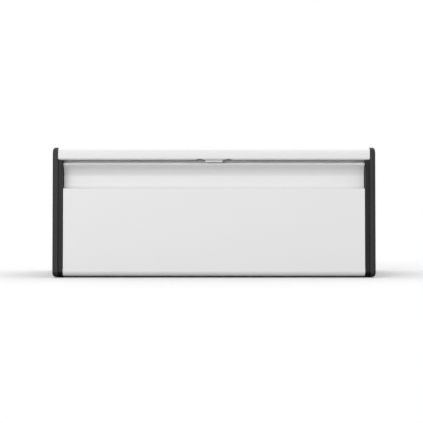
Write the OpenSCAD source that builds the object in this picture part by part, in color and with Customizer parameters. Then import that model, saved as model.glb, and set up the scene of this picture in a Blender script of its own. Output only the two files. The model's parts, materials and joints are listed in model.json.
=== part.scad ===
// Bread box with a fall front: a folded steel shell between two plastic side panels,
// closed by a steel door that hinges along its bottom edge.
// +X is to the right seen from the front, -Y is the front, +Z is up.
// The origin is at the middle of the footprint, on the surface that the feet stand on.

/* [Overall] */
// Width over the side covers
width = 465; // [380:5:560]
// Depth over the side covers
depth = 265; // [220:5:340]
// Height from the worktop to the top of the side covers
height = 187.5; // [150:0.5:240]
// Angle that the front leans back
front_lean = 2; // [0:0.5:4]

/* [Shell] */
// Thickness of the steel sheet
sheet = 0.8; // [0.5:0.1:1.2]
// Radius of the rounded top front edge
nose_radius = 10; // [8:0.5:17]
// Radius of the rounded top rear edge
rear_radius = 22; // [6:1:35]
// Height of the lip above the door
lip_height = 18.4; // [18:0.2:28]
// Radius of the lip's lower corners
lip_corner = 3; // [1:0.5:5]
// Height of the flange that hangs from the lip behind the door's top edge
lip_flange = 6; // [5:0.5:10]
// Gap between that flange and the closed door
flange_gap = 0.6; // [0.5:0.1:2]
// Length of the shell's turned-in bottom flange
rear_flange = 20; // [14:1:30]

/* [Side panels] */
// Width of the side cover's rim, seen from the front
cover_width = 8; // [7:0.5:14]
// Width of the side frame's strip, seen from the front
strip_width = 5.4; // [4.5:0.1:10]
// Width of the shadow groove between them
groove = 1.2; // [0.6:0.1:2.5]
// Wall of the side cover
cover_wall = 2.5; // [1.6:0.1:3]
// Wall of the side frame
frame_wall = 2.5; // [1.6:0.1:3.5]
// How far the rim stands proud of the shell's sheet
rim_proud = 0.5; // [0.2:0.1:1.5]

/* [Door] */
// Distance from the hinge axis to the door's front face
knuckle_radius = 7; // [6.6:0.1:9]
// Height of the gap between the door and the lip
door_top_gap = 4.5; // [2.5:0.1:6]
// Gap at each end of the door
door_side_gap = 0.9; // [0.6:0.1:2]
// Depth of the finger channel
channel_depth = 13; // [8:0.5:18]
// Height of the finger channel's back wall
channel_height = 24.5; // [18:0.5:36]
// Height of the slanting roof of the finger channel
roof_height = 12; // [8:0.5:18]
// Radius of the hollow between the channel's back wall and its roof
roof_bend = 16; // [3:0.5:18]
// Wall of the door's plastic end pieces
end_wall = 3; // [2:0.2:5]

/* [Hinge and catch] */
// Diameter of the hinge pins
pin_diameter = 4; // [3:0.1:5]
// Length of pin held in each door end piece
pin_grip = 15; // [10:1:25]
// Length of the catch magnet
magnet_length = 20; // [12:1:30]
// Height of the magnet's face above the door's highest sweep
magnet_gap = 0.9; // [0.5:0.1:1.5]

/* [Feet and fixings] */
// Height of the rim above the worktop
ground_gap = 1; // [1:0.1:4]
// Length of each rubber foot
foot_length = 24; // [16:1:40]
// Diameter of the vent holes in the back
vent_diameter = 4; // [2:0.5:6]
// Number of vent holes in the longest row
vent_columns = 15; // [5:2:19]

/* [Hidden] */
$fn = 48;
bend_step = 9;                // degrees of bend to each flat of a sheet's curve
snug = 0.05;                  // clearance between pieces that lie against each other
slip = 0.2;                   // clearance between pieces that slide together
tight_bend = 1.6;             // outer radius of a sharp fold in the sheet
part_gap = 0.3;               // clearance between the door and what it closes against

// Hinge axis and the outline that is drawn round it
rim_radius = knuckle_radius + rim_proud + 0.5;
hinge_y = -depth / 2 + rim_radius;
hinge_z = ground_gap + rim_radius;
heel_radius = 6;              // bottom rear corner of the side cover

// Stations along X, from the outside in
outer_x = width / 2;
rim_x = outer_x - cover_width;
strip_x = rim_x - groove;
frame_x = strip_x - strip_width;
door_x = frame_x - door_side_gap;
shell_x = rim_x - slip;
cover_floor_x = outer_x - cover_wall;

// Insets from the rim's outline
sheet_inset = rim_proud;
frame_inset = sheet_inset + sheet + snug;
tongue_inset = cover_wall + 0.5;
tongue_wall = 1.5;
tongue_reach = 1.6;           // how far the tongue enters the cover, past the groove

// Lip and door, heights above the worktop and above the hinge axis
lip_z = height - lip_height;
lip_bend = 3;
door_top = (lip_z - door_top_gap - hinge_z) / cos(front_lean);
roof_foot = door_top - roof_height;
ledge = roof_foot - channel_height;
channel_bend = 6;
roof_set_back = 0.8;          // the roof's edge behind the door's face
channel_back = channel_depth - knuckle_radius;
liner_front = channel_back + sheet + 0.55;
liner_back = liner_front + sheet;
door_back = liner_back + snug + sheet;
hem_height = 8;               // the flange that folds down behind the liner's top edge
toe_back = liner_front - 0.15;
toe_top = 2;                  // the panel's bottom edge ends this far above the axis
end_recess = 0.5;             // the end pieces lie this far inside the panel's ends

// Hinge
pin_radius = pin_diameter / 2;
bush_bore = pin_radius + snug;
bush_radius = bush_bore + 1.25;
bush_flange = 0.5;
boss_radius = bush_radius + 1.6;
boss_x = rim_x + tongue_reach;
pin_head_radius = bush_radius - 0.1;
pin_head = 1.5;
pin_head_x = boss_x + 0.4;
pin_start = door_x - end_recess - pin_grip + 1.2;

// Screws: a pan head, and a shank that fills its pilot hole
screw_radius = 1.5;
screw_clearance = 1.7;
head_radius = 3;
head_height = 1.8;
head_recess_radius = 3.4;
screw_boss_radius = 4.5;
cover_boss_x = rim_x + 0.7;
cover_screw_tip = 0.5;        // how far a cover screw reaches into the cover's plate

// Places of the fixings on the side panel, as [y, z]
inner_front_y = hinge_y + liner_back + 21;
inner_rear_y = depth / 2 - frame_inset - 20;
cover_screws = [
    for (y = [inner_front_y + 6, inner_rear_y]) for (z = [32, height - 34]) [y, z]];
base_screw_z = 12;
base_screws = [for (t = [0, 0.5, 1]) inner_front_y - 4 + t * (inner_rear_y - inner_front_y + 4)];
feet_y = [hinge_y + 20, depth / 2 - rear_flange - foot_length / 2 - 8];

// Base tray
tray_front = hinge_y + max(norm([liner_back, knuckle_radius]), door_back) + 1.5;
tray_z = ground_gap + frame_inset;
tray_x = frame_x - 0.1;
tray_flange = 15;
tray_front_height = 12;
rivet_radius = 1.6;
rivet_head_radius = 3.2;
rivet_head = 0.9;
rivets_x = [for (s = [-1, -1/3, 1/3, 1]) s * (tray_x - 40)];
rivet_y = depth / 2 - rear_flange / 2 - 3;

// Door stops
stop_height = door_top - 26;
stop_width = 9;
stop_reach = 8;               // depth of the stop lug, front to back
buffer_radius = 3.6;
buffer_stem = 1.8;
buffer_stand = 2;

// Foot pads
foot_x = frame_x + 0.3;
foot_width = cover_width + strip_width + groove - 5.6;
stud_radius = 1.9;
stud_x = frame_x + strip_width / 2;
stud_height = 3;

// Magnet holder, in the lip
nose_half = magnet_length / 2 + 2.2;
nose_taper = 1;               // how much wider the nose is at its root, each side
slot_half = nose_half + 15;
seat_length = 5;              // of the holder on the lip, at each end of the slot
seat_z = lip_z + sheet + snug;
bridge_z = lip_z + 2.6;       // underside of the bridge, hidden behind the lip
holder_height = 7;
holder_front = 3.5;           // behind the lip's face
holder_depth = 8.5;
slot_room = 0.5;              // between the holder and the rear of its slot
peg_radius = 1.5;
holder_z = hinge_z + norm([door_top, door_back]) + magnet_gap;
magnet_width = 5;
magnet_height = 3.6;
notch_rise = 1.9;             // how far a notch reaches up into the lip
notch_peak = 0.62;            // where its highest point is, as a share of its length

// ---- Drawing bent sheet and rounded outlines ----

function left_of(v) = [-v[1], v[0]];
function heading(a, b) = [b[0] - a[0], b[1] - a[1]] / norm([b[0] - a[0], b[1] - a[1]]);
function reversed(v) = [for (i = [len(v) - 1 : -1 : 0]) v[i]];

// The curve at vertex p = [x, y, radius] between its neighbours, shifted d to the right.
function bend(before, p, after, d) =
    let (a = heading(before, p), b = heading(p, after),
         turn = atan2(cross(a, b), a * b), side = sign(turn),
         inward = left_of(a) + left_of(b),
         centre = [p[0], p[1]] + side * p[2] / cos(turn / 2) * inward / norm(inward),
         steps = max(1, ceil(abs(turn) / bend_step)), start = atan2(a[1], a[0]))
    [for (k = [0 : steps])
        let (angle = start + turn * k / steps)
        centre - side * (p[2] + side * d) * left_of([cos(angle), sin(angle)])];

// An open path of such vertices, shifted d to the right of its direction of travel.
function shifted(path, d) =
    let (n = len(path) - 1)
    [[path[0][0], path[0][1]] - d * left_of(heading(path[0], path[1])),
     for (i = [1 : n - 1]) each bend(path[i - 1], path[i], path[i + 1], d),
     [path[n][0], path[n][1]] - d * left_of(heading(path[n - 1], path[n]))];

// The section of a sheet whose outer face follows the path.
module sheet_section(path, side = 1) {
    polygon(concat(shifted(path, 0), reversed(shifted(path, side * sheet))));
}

// The side panel's outline, inset from the rim by d.
front_y = function (z) hinge_y - rim_radius / cos(front_lean) + (z - hinge_z) * tan(front_lean);
corners = [
    [front_y(ground_gap), ground_gap, rim_radius], [front_y(height), height, nose_radius],
    [depth / 2, height, rear_radius], [depth / 2, ground_gap, heel_radius]];
function outline_points(d) =
    [for (i = [0 : 3]) each bend(corners[(i + 3) % 4], corners[i], corners[(i + 1) % 4], d)];
module outline(d) {
    polygon(outline_points(d));
}
module ring(outer, inner) {
    difference() {
        outline(outer);
        outline(inner);
    }
}

// Draws a [y, z] section and extrudes it along X from x, or centred on the middle.
module from_x(x, length) {
    translate([x, 0, 0]) rotate([90, 0, 90]) linear_extrude(length) children();
}
module across(length) {
    rotate([90, 0, 90]) linear_extrude(length, center = true) children();
}
// A cylinder along +X, and one along +Y.
module rod_x(x, y, z, r, length) {
    translate([x, y, z]) rotate([0, 90, 0]) cylinder(r = r, h = length);
}
module rod_y(x, y, z, r, length) {
    translate([x, y, z]) rotate([-90, 0, 0]) cylinder(r = r, h = length);
}
// The right side's piece, or its mirror image on the left.
module on_side(side) {
    mirror([side < 0 ? 1 : 0, 0, 0]) children();
}
// The door's own frame: origin on the hinge axis, +Y to the door's back, +Z up its face.
module on_door() {
    translate([0, hinge_y, hinge_z]) rotate([-front_lean, 0, 0]) children();
}
// A pan head screw along +Z, its head's underside at the origin and its head below.
module pan_screw(shank) {
    cylinder(r = screw_radius, h = shank);
    difference() {
        union() {
            translate([0, 0, -head_height / 2]) cylinder(r = head_radius, h = head_height / 2);
            translate([0, 0, -head_height])
                cylinder(r1 = head_radius * 0.72, r2 = head_radius, h = head_height / 2);
        }
        for (a = [0, 90]) rotate([0, 0, a])
            translate([-head_radius * 0.6, -0.35, -head_height - 1])
                cube([head_radius * 1.2, 0.7, 1.9]);
    }
}

// ---- Cabinet ----

shell_path =
    let (shell_front = function (z) front_y(z) + sheet_inset / cos(front_lean),
         top = height - sheet_inset, back = depth / 2 - sheet_inset,
         bottom = ground_gap + sheet_inset,
         door_rear = hinge_y + door_back * cos(front_lean) + door_top * sin(front_lean),
         slot_rear = shell_front(lip_z) + holder_front + holder_depth + slot_room,
         flange_y = max(door_rear + flange_gap, slot_rear + tight_bend))
    [[flange_y, lip_z - lip_flange, 0],
     [flange_y, lip_z, tight_bend - sheet],
     [shell_front(lip_z), lip_z, lip_bend],
     [shell_front(top), top, nose_radius - sheet_inset],
     [back, top, rear_radius - sheet_inset],
     [back, bottom, heel_radius - sheet_inset], [back - rear_flange, bottom, 0]];

lip_y = shell_path[2][0];
lip_depth = shell_path[0][0] + sheet - lip_y;
holder_y = lip_y + holder_front;

module top_back_shell() {
    color("white") difference() {
        across(2 * shell_x) sheet_section(shell_path);
        // Slot for the magnet holder and holes for its pegs
        translate([-slot_half, lip_y + lip_bend, lip_z - 1])
            cube([2 * slot_half, holder_front + holder_depth + slot_room - lip_bend, sheet + 2]);
        for (side = [-1, 1]) on_side(side) {
            translate([slot_half + seat_length / 2, holder_y + holder_depth / 2, lip_z - 1])
                cylinder(r = peg_radius + snug, h = sheet + 2);
            lip_notch();
            lip_corner_cut();
            // The return and its flange stop short of the side frame
            translate([frame_x - slip, lip_y + lip_bend, lip_z - lip_flange - 1])
                cube([shell_x, lip_depth, lip_flange + sheet + 2]);
        }
        // Rivets
        for (x = rivets_x)
            translate([x, rivet_y, 0]) cylinder(r = rivet_radius, h = tray_z);
        // Vents, in three staggered rows
        for (row = [-1 : 1]) {
            columns = vent_columns - abs(row);
            for (i = [0 : columns - 1])
                rod_y((i - (columns - 1) / 2) * vent_diameter * 3, depth / 2 - 5,
                      height * 0.74 + row * vent_diameter * 2.5, vent_diameter / 2, 6);
        }
    }
}

// The notch rises gently from the middle and drops steeply at its outer end.
module lip_notch() {
    length = slot_half - nose_half;
    translate([nose_half, lip_y + lip_bend + 1, lip_z]) rotate([90, 0, 0])
        linear_extrude(lip_bend + 2)
            polygon([[0, -1], [0, 0], [length * notch_peak, notch_rise],
                     [length * 0.9, notch_rise * 0.8], [length, 0], [length, -1]]);
}
// What is cut away to round the lip's lower corner.
module lip_corner_cut() {
    translate([shell_x - lip_corner, lip_y - 1, lip_z - 1]) difference() {
        cube([lip_corner + 1, lip_bend + 3, lip_corner + 1]);
        translate([0, -1, lip_corner + 1]) rotate([-90, 0, 0])
            cylinder(r = lip_corner, h = lip_bend + 5);
    }
}

tray_path =
    let (back = depth / 2 - frame_inset - 0.1)
    [[tray_front + 8, tray_z + tray_front_height, 0],
     [tray_front, tray_z + tray_front_height, tight_bend],
     [tray_front, tray_z, tight_bend], [back, tray_z, heel_radius],
     [back, tray_z + tray_flange, 0]];

module base_tray() {
    color("dimgray") difference() {
        union() {
            across(2 * tray_x) sheet_section(tray_path, -1);
            for (side = [-1, 1]) on_side(side)
                translate([tray_x - sheet, tray_front + 10, tray_z])
                    cube([sheet, depth / 2 - tray_front - 22, tray_flange]);
        }
        for (side = [-1, 1]) on_side(side)
            for (y = base_screws) rod_x(tray_x - 2, y, base_screw_z, screw_clearance, 3);
        for (x = rivets_x)
            translate([x, rivet_y, 0]) cylinder(r = rivet_radius, h = 10);
    }
}

module side_frame() {
    color([0.13, 0.13, 0.14]) difference() {
        union() {
            from_x(frame_x, frame_wall) outline(frame_inset);
            from_x(frame_x, strip_width) ring(frame_inset, tongue_inset + tongue_wall);
            from_x(frame_x, rim_x + tongue_reach - frame_x)
                ring(tongue_inset, tongue_inset + tongue_wall);
            rod_x(frame_x, hinge_y, hinge_z, boss_radius, boss_x - frame_x);
            for (p = cover_screws)
                rod_x(frame_x, p[0], p[1], screw_boss_radius, cover_boss_x - slip - frame_x);
            for (y = base_screws)
                rod_x(frame_x, y, base_screw_z, screw_boss_radius - 1, strip_width);
            stop_lug();
        }
        rod_x(frame_x - 1, hinge_y, hinge_z, bush_radius, boss_x - frame_x + 2);
        for (p = cover_screws) {
            rod_x(frame_x - 1, p[0], p[1], head_recess_radius, head_height + 1.4);
            rod_x(frame_x - 1, p[0], p[1], screw_clearance, cover_boss_x - frame_x + 2);
        }
        for (y = base_screws)
            rod_x(frame_x - 1, y, base_screw_z, screw_radius, strip_width);
        for (y = feet_y)
            translate([stud_x, y, 0]) cylinder(r = stud_radius, h = tray_z + stud_height + 0.2);
        on_door() buffer_shape(stud = true);
        // Room for the bend of the shell's lip
        translate([frame_x - 1, lip_y - 1, lip_z - slip])
            cube([strip_width + 2, lip_bend + slip + 1, lip_bend + slip]);
    }
}

// The lug behind the door that stops it, drawn in the frame's own plastic.
module stop_lug() {
    on_door() translate([frame_x - stop_width, liner_back + part_gap + buffer_stand,
                         stop_height - buffer_radius - 1])
        cube([stop_width + 1, stop_reach, 2 * buffer_radius + 2]);
}

// The rubber buffer, or only the stem's socket in the lug.
module buffer_shape(stud) {
    x = frame_x - stop_width / 2;
    front = liner_back + part_gap;
    rod_y(x, front + buffer_stand - snug, stop_height, buffer_stem, 5);
    if (!stud) rod_y(x, front, stop_height, buffer_radius, buffer_stand);
}
module door_buffer() {
    color([0.08, 0.08, 0.08]) on_door() buffer_shape(stud = false);
}

module side_cover() {
    edge = cover_wall * 0.9;
    color([0.2, 0.2, 0.21]) difference() {
        union() {
            // Plate with a softened outer edge
            hull() {
                from_x(cover_floor_x, cover_wall - edge) outline(0);
                from_x(outer_x - 0.1, 0.1) outline(edge);
            }
            from_x(rim_x, cover_floor_x - rim_x + 0.1) ring(0, cover_wall);
            for (p = cover_screws)
                rod_x(cover_boss_x, p[0], p[1], screw_boss_radius, cover_floor_x - cover_boss_x + 0.1);
        }
        for (p = cover_screws)
            rod_x(cover_boss_x - 1, p[0], p[1], screw_radius,
                  cover_floor_x - cover_boss_x + 1 + cover_screw_tip);
        // Room for the feet
        for (y = feet_y)
            translate([foot_x - slip, y - foot_length / 2 - slip, 0])
                cube([foot_width + 2 * slip, foot_length + 2 * slip, tray_z + slip]);
    }
}

module hinge_bush() {
    color("ivory") difference() {
        union() {
            rod_x(frame_x - bush_flange, hinge_y, hinge_z, boss_radius, bush_flange);
            rod_x(frame_x - bush_flange, hinge_y, hinge_z, bush_radius,
                  boss_x - frame_x + bush_flange);
        }
        rod_x(frame_x - 2, hinge_y, hinge_z, bush_bore, boss_x - frame_x + 4);
    }
}

// Foot pad with rounded ends and a stud that plugs into the side frame.
module foot(y) {
    color([0.05, 0.05, 0.05]) {
        for (e = [-1, 1])
            translate([foot_x + foot_width / 2, y + e * (foot_length - foot_width) / 2, 0])
                cylinder(r = foot_width / 2, h = tray_z);
        translate([foot_x, y - (foot_length - foot_width) / 2, 0])
            cube([foot_width, foot_length - foot_width, tray_z]);
        translate([stud_x, y, tray_z - snug]) cylinder(r = stud_radius, h = stud_height);
    }
}

module cover_screw_set() {
    for (p = cover_screws)
        color("silver") translate([frame_x + head_height + 0.4, p[0], p[1]]) rotate([0, 90, 0])
            pan_screw(cover_floor_x + cover_screw_tip - frame_x - head_height - 0.4);
}

module base_screw_set() {
    for (side = [-1, 1]) on_side(side)
        for (y = base_screws)
            color("silver") translate([tray_x - sheet, y, base_screw_z]) rotate([0, 90, 0])
                pan_screw(strip_width - 0.6);
}

module rear_rivets() {
    top = tray_z + sheet;
    bottom = ground_gap + sheet_inset;
    color("silver") for (x = rivets_x) translate([x, rivet_y, 0]) {
        translate([0, 0, bottom - rivet_head])
            cylinder(r1 = rivet_head_radius * 0.7, r2 = rivet_head_radius, h = rivet_head);
        translate([0, 0, bottom]) cylinder(r = rivet_radius, h = top - bottom);
        translate([0, 0, top])
            cylinder(r1 = rivet_head_radius, r2 = rivet_head_radius * 0.7, h = rivet_head);
    }
}

// ---- Magnetic catch ----

module magnet_holder() {
    seat_end = slot_half + seat_length;
    top = seat_z + holder_height;
    color("gainsboro") difference() {
        union() {
            translate([0, holder_y + holder_depth, 0]) rotate([90, 0, 0])
                linear_extrude(holder_depth)
                    polygon([
                        [-nose_half, holder_z], [nose_half, holder_z],
                        [nose_half + nose_taper, bridge_z], [slot_half, bridge_z],
                        [slot_half, seat_z], [seat_end, seat_z], [seat_end, top],
                        [-seat_end, top], [-seat_end, seat_z], [-slot_half, seat_z],
                        [-slot_half, bridge_z], [-nose_half - nose_taper, bridge_z]]);
            for (side = [-1, 1])
                translate([side * (slot_half + seat_length / 2),
                           holder_y + holder_depth / 2, lip_z])
                    cylinder(r = peg_radius, h = sheet + 1);
        }
        magnet_block(snug);
    }
}
module magnet_block(clearance) {
    translate([-magnet_length / 2 - clearance,
               holder_y + (holder_depth - magnet_width) / 2 - clearance,
               holder_z + 0.2 - (clearance > 0 ? 1 : 0)])
        cube([magnet_length + 2 * clearance, magnet_width + 2 * clearance,
              magnet_height + (clearance > 0 ? 1 : 0)]);
}
module catch_magnet() {
    color("gray") magnet_block(0);
}

// ---- Door, drawn upright about the hinge axis ----

door_path = [
    [toe_back, toe_top, 0], [toe_back, -knuckle_radius, lip_bend],
    [-knuckle_radius, -knuckle_radius, knuckle_radius],
    [-knuckle_radius, ledge, tight_bend], [channel_back, ledge, channel_bend],
    [channel_back, roof_foot, roof_bend],
    [-knuckle_radius + roof_set_back, door_top, tight_bend],
    [door_back, door_top, tight_bend], [door_back, door_top - hem_height, 0]];

module door_panel() {
    color("white") on_door() across(2 * door_x) sheet_section(door_path);
}

// Places of the liner's screws, up each door end
liner_screws = [14, ledge / 2 + 2, ledge - 10];
liner_top = door_top - tight_bend - snug;
post_width = 7;
post_depth = 8;
liner_screw_x = door_x - end_recess - end_wall - post_width / 2;

module door_liner() {
    color("whitesmoke") on_door() difference() {
        translate([0.4 - door_x, liner_front, -4.5])
            cube([2 * door_x - 0.8, sheet, liner_top + 4.5]);
        for (side = [-1, 1]) on_side(side)
            for (z = liner_screws)
                rod_y(liner_screw_x, liner_front - 1, z, screw_clearance, sheet + 2);
    }
}

// The end piece fills the folded panel's section, clear of the sheet by a snug fit.
module door_end() {
    inner = sheet + snug;
    rear = liner_front - snug;
    bottom = inner - knuckle_radius;
    color("gainsboro") on_door() difference() {
        union() {
            from_x(door_x - end_recess - end_wall, end_wall) intersection() {
                polygon(concat(shifted(door_path, inner), [[door_back, toe_top + snug]]));
                translate([-knuckle_radius, bottom])
                    square([knuckle_radius + rear, liner_top - 1 - bottom]);
            }
            rod_x(door_x - end_recess - pin_grip, 0, 0, boss_radius, pin_grip);
            for (z = liner_screws) screw_post(z);
        }
        rod_x(pin_start - 0.2, 0, 0, pin_radius, pin_grip);
        for (z = liner_screws)
            rod_y(liner_screw_x, rear - post_depth - 1, z, screw_radius, post_depth + 2);
    }
}
// A post on the end's inner face for one of the liner's screws.
module screw_post(z) {
    translate([liner_screw_x - post_width / 2, liner_front - snug - post_depth,
               z - post_width / 2])
        cube([door_x - end_recess - liner_screw_x + post_width / 2, post_depth, post_width]);
}

module hinge_pin() {
    color("silver") {
        rod_x(pin_start, hinge_y, hinge_z, pin_radius, pin_head_x - pin_start);
        rod_x(pin_head_x, hinge_y, hinge_z, pin_head_radius, pin_head);
    }
}

module liner_screw_set() {
    for (side = [-1, 1]) on_side(side) on_door()
        for (z = liner_screws)
            color("silver") translate([liner_screw_x, liner_back, z]) rotate([90, 0, 0])
                pan_screw(7);
}

top_back_shell();
base_tray();
on_side(-1) side_frame();  // left_side_frame
on_side(1) side_frame();  // right_side_frame
on_side(-1) side_cover();  // left_side_cover
on_side(1) side_cover();  // right_side_cover
on_side(-1) hinge_bush();  // left_hinge_bush
on_side(1) hinge_bush();  // right_hinge_bush
magnet_holder();
catch_magnet();
on_side(-1) door_buffer();  // left_door_buffer
on_side(1) door_buffer();  // right_door_buffer
on_side(-1) foot(feet_y[0]);  // front_left_foot
on_side(1) foot(feet_y[0]);  // front_right_foot
on_side(-1) foot(feet_y[1]);  // rear_left_foot
on_side(1) foot(feet_y[1]);  // rear_right_foot
on_side(-1) cover_screw_set();  // left_cover_screws
on_side(1) cover_screw_set();  // right_cover_screws
base_screw_set();  // base_screws
rear_rivets();
door_panel();
door_liner();
on_side(-1) door_end();  // left_door_end
on_side(1) door_end();  // right_door_end
on_side(-1) hinge_pin();  // left_hinge_pin
on_side(1) hinge_pin();  // right_hinge_pin
liner_screw_set();  // door_liner_screws
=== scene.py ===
# %% [markdown]
# # A bread box with a fall front
#
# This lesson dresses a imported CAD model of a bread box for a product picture. The box is a folded
# steel shell between two plastic side panels. Its front is a folded steel door, hinged along the
# bottom, with a finger channel under the lip of the top.
#
# The CAD model says where everything is and how the door swings. The lesson models the pieces
# again with the bends, fillets and fixings that the eye looks for, and gives each a real finish.
# Every piece rides on a body of the CAD model, so the door still opens.

# %% Load the CAD model as a fixed frame
import json
import math

import bmesh
import bpy
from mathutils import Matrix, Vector


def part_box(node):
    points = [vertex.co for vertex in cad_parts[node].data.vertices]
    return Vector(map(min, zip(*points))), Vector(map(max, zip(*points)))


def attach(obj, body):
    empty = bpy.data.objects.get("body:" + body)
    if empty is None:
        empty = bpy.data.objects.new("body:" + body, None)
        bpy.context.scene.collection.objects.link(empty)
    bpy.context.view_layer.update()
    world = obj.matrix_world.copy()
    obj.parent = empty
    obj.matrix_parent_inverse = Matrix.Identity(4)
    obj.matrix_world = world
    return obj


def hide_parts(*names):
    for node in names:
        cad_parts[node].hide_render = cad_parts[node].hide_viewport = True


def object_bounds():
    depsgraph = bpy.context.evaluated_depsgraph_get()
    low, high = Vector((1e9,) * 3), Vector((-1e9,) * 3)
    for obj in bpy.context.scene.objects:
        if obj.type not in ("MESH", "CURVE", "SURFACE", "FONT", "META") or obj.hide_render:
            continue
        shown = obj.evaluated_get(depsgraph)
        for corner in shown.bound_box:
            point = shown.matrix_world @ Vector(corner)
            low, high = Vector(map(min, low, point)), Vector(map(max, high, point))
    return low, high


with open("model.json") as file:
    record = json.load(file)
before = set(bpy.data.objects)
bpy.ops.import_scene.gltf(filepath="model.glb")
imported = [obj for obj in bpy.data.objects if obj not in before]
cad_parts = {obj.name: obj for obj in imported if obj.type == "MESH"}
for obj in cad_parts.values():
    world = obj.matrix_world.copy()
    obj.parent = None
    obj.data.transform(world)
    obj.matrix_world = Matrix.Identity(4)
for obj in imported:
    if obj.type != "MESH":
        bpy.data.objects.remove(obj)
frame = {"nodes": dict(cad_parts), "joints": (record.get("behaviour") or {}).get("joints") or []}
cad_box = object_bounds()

MM = 0.001
low_corner, high_corner = cad_box
print("CAD box in mm:", [round(v / MM, 1) for v in high_corner - low_corner])

# %% [markdown]
# ## The places that everything shares
#
# Most places are read from the CAD model, so nothing has to be fitted later. What a box can't
# tell, such as a bend's radius or the lean of the front, is a named value in millimetres.
# The front leans back by two degrees. The hinge axis is the centre of the door's bottom bend.

# %% Name the shared places
HINGE = Vector(frame["joints"][0]["pos_m"])
LEAN = math.radians(2)
SHEET = 0.8 * MM
cover_low, cover_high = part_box("right_side_cover")
OUTER_X = cover_high.x
RIM_X = cover_low.x
STRIP_X = RIM_X - 1.2 * MM
FRAME_X = STRIP_X - 5.4 * MM
SHELL_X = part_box("top_back_shell")[1].x
DOOR_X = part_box("door_panel")[1].x
RIM_RADIUS = HINGE.z - cover_low.z
LIP_Z = cover_high.z - 18.4 * MM
print("hinge axis in mm:", [round(v / MM, 2) for v in HINGE], "lip at", round(LIP_Z / MM, 2))

# %% [markdown]
# ## The camera
#
# The camera comes first, because it decides which details matter. A long lens from about two
# metres keeps the verticals nearly parallel, as in a catalogue picture, and a camera at half the
# object's height sees neither its top nor its underside. A shorter lens close up would show
# more of the channel, but would also spread the sides.

# %% Place the camera
CAMERA_DISTANCE = 2100 * MM
PICTURE_WIDTH = 606.9 * MM
camera_data = bpy.data.cameras.new("catalogue_camera")
camera = bpy.data.objects.new("catalogue_camera", camera_data)
bpy.context.scene.collection.objects.link(camera)
bpy.context.scene.camera = camera
camera_data.sensor_width = 36
camera_data.lens = camera_data.sensor_width * CAMERA_DISTANCE / PICTURE_WIDTH
camera.location = (-3.6 * MM, low_corner.y - CAMERA_DISTANCE, 95.1 * MM)
camera.rotation_euler = (math.radians(90), 0, 0)
camera_data.clip_end = 20
print("lens in mm:", round(camera_data.lens, 1))

# %% [markdown]
# ## Helpers for node trees
#
# The room's light and every material are trees of nodes. A few helpers keep each tree short
# enough to read: one adds a node and wires it, one turns a paint maker's hex code into the linear
# colour that a shader needs, and two begin and end a material.

# %% Add and wire nodes
def srgb(code):
    """The linear colour of an sRGB hex code."""
    parts = [int(code[i : i + 2], 16) / 255 for i in (1, 3, 5)]
    linear = [c / 12.92 if c <= 0.04045 else ((c + 0.055) / 1.055) ** 2.4 for c in parts]
    return (*linear, 1)


def add_node(tree, kind, inputs=None, **settings):
    """Adds one node. An input that is another node's output is linked, any other is set."""
    made = tree.nodes.new("ShaderNode" + kind)
    for name, value in settings.items():
        setattr(made, name, value)
    for name, value in (inputs or {}).items():
        socket = next(s for s in made.inputs if name in (s.identifier, s.name))
        if isinstance(value, bpy.types.NodeSocket):
            tree.links.new(value, socket)
        else:
            socket.default_value = value
    return made


def output(made, name):
    """A node's output by its name or, where several share a name, by its identifier."""
    return next(s for s in made.outputs if name in (s.identifier, s.name))


def start_material(name):
    """A new material's node tree, emptied, and the Object coordinates in it."""
    material = bpy.data.materials.new(name)
    material.use_nodes = True
    tree = material.node_tree
    tree.nodes.clear()
    return material, tree, add_node(tree, "TexCoord").outputs["Object"]


def end_material(tree, inputs):
    """The surface shader with these inputs, wired to the material's output."""
    shader = add_node(tree, "BsdfPrincipled", inputs)
    add_node(tree, "OutputMaterial", {"Surface": shader.outputs["BSDF"]})
    print("material nodes:", len(tree.nodes))


# %% [markdown]
# ## Floor and light
#
# A white object on white needs light from all sides, and just enough difference between them to
# shape it. A bright room gives the base light. A wide soft light from high behind whitens the
# top and lets the box throw a soft shadow towards the camera, which also deepens the bottom of
# the finger channel. A low light from the front left lifts the door. The slanting roof of the
# channel looks down, so it takes its shade from the floor's bounce. Small lamps would be simpler
# but leave hard shadows, which this kind of picture avoids. Both lights are suns with a very wide
# disc, because a sun lights a wide floor evenly.

# %% Lay the floor
FLOOR_WIDTH = 60
bpy.ops.object.select_all(action="DESELECT")
bpy.ops.mesh.primitive_plane_add(size=FLOOR_WIDTH, location=(0, 0, 0))
floor = bpy.context.object
floor.name = "studio_floor"
print("floor width in m:", round(floor.dimensions.x, 1))

# %% [markdown]
# The room's walls are brighter near the floor than its ceiling is, so upright faces stay bright
# and the curve over the front edge is shaded towards the top. Looked at directly the room is
# plain white, which keeps the background clean.

# %% Light the studio
HORIZON_LIGHT = 1.33
ZENITH_LIGHT = 0.50
CEILING_START = 0.9
world = bpy.data.worlds.new("white_studio")
world.use_nodes = True
bpy.context.scene.world = world
bpy.context.scene.view_settings.view_transform = "Standard"
room = world.node_tree
direction = add_node(room, "TexCoord").outputs["Generated"]
height = add_node(room, "SeparateXYZ", {"Vector": direction}).outputs["Z"]
wall = add_node(room, "MapRange", {"Value": height, "From Max": CEILING_START,
                                   "To Min": HORIZON_LIGHT, "To Max": ZENITH_LIGHT})
seen = add_node(room, "LightPath").outputs["Is Camera Ray"]
strength = add_node(room, "MapRange", {"Value": seen, "To Min": wall.outputs["Result"],
                                       "To Max": 1.0})
background = room.nodes["Background"]
background.inputs["Color"].default_value = (1, 1, 1, 1)
room.links.new(strength.outputs["Result"], background.inputs["Strength"])


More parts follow.
